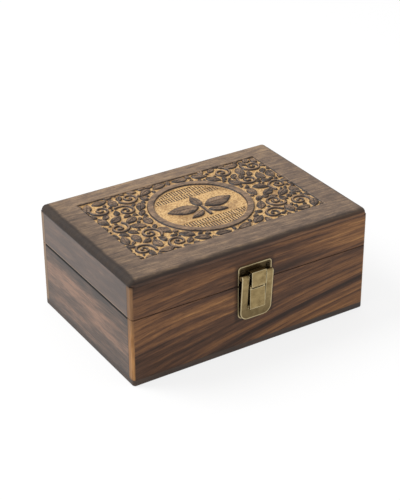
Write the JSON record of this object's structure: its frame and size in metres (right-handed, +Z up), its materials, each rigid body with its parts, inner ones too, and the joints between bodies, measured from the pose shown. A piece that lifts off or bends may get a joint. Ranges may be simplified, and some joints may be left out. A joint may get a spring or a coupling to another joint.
{
  "type": "hinged wooden box",
  "caption": "Dark wooden box with a carved hinged lid, inner dividers and a brass draw latch on the front.",
  "frame": {"origin": "centre of the underside of the bottom board, on the resting face", "axes": "+X along the front to the right, front and latch face -Y, +Z up towards the lid"},
  "size_m": [0.24, 0.1756, 0.102],
  "materials": {
    "scorched_wood": "scorched and oiled, satin",
    "inner_wood": "bare, sanded",
    "carved_wood": "scorched, carved to pale wood",
    "antique_brass": "antiqued, worn on the edges",
    "worn_brass": "antiqued, worn"
  },
  "bodies": {
    "base": {"bottom_board": "scorched_wood", "base_front_board": "scorched_wood", "base_back_board": "scorched_wood", "base_left_board": "scorched_wood", "base_right_board": "scorched_wood", "long_divider": "inner_wood", "cross_divider_left": "inner_wood", "cross_divider_right": "inner_wood", "latch_base_plate": "antique_brass", "latch_base_screws": "worn_brass", "lever_rivets": "worn_brass", "hinge_left_base_leaf": "antique_brass", "hinge_right_base_leaf": "antique_brass", "hinge_left_pin": "worn_brass", "hinge_right_pin": "worn_brass", "hinge_base_screws": "worn_brass"},
    "lid": {"lid_top_board": "carved_wood", "lid_front_board": "scorched_wood", "lid_back_board": "scorched_wood", "lid_left_board": "scorched_wood", "lid_right_board": "scorched_wood", "catch_plate": "antique_brass", "catch_screws": "worn_brass", "hinge_left_lid_leaf": "antique_brass", "hinge_right_lid_leaf": "antique_brass", "hinge_lid_screws": "worn_brass"},
    "latch_lever_body": {"latch_lever": "antique_brass", "tongue_pin": "worn_brass"},
    "latch_tongue_body": {"latch_tongue": "antique_brass"}
  },
  "joints": [
    {"name": "lid_hinge", "type": "hinge", "parent": "base", "child": "lid", "pos_m": [0, 0.0838, 0.06515], "axis": [-1, 0, 0], "range_deg": [0, 105]},
    {"name": "latch_lever_pivot", "type": "hinge", "parent": "base", "child": "latch_lever_body", "pos_m": [0.0004, -0.085, 0.0736], "axis": [-1, 0, 0], "range_deg": [0, 110]},
    {"name": "latch_tongue_pivot", "type": "hinge", "parent": "latch_lever_body", "child": "latch_tongue_body", "pos_m": [0.0004, -0.0863, 0.0634], "axis": [-1, 0, 0], "range_deg": [-99.5, 0.5]}
  ],
  "couplings": [
    {"joint": "latch_tongue_pivot", "follows": "latch_lever_pivot", "ratio": -0.9}
  ]
}
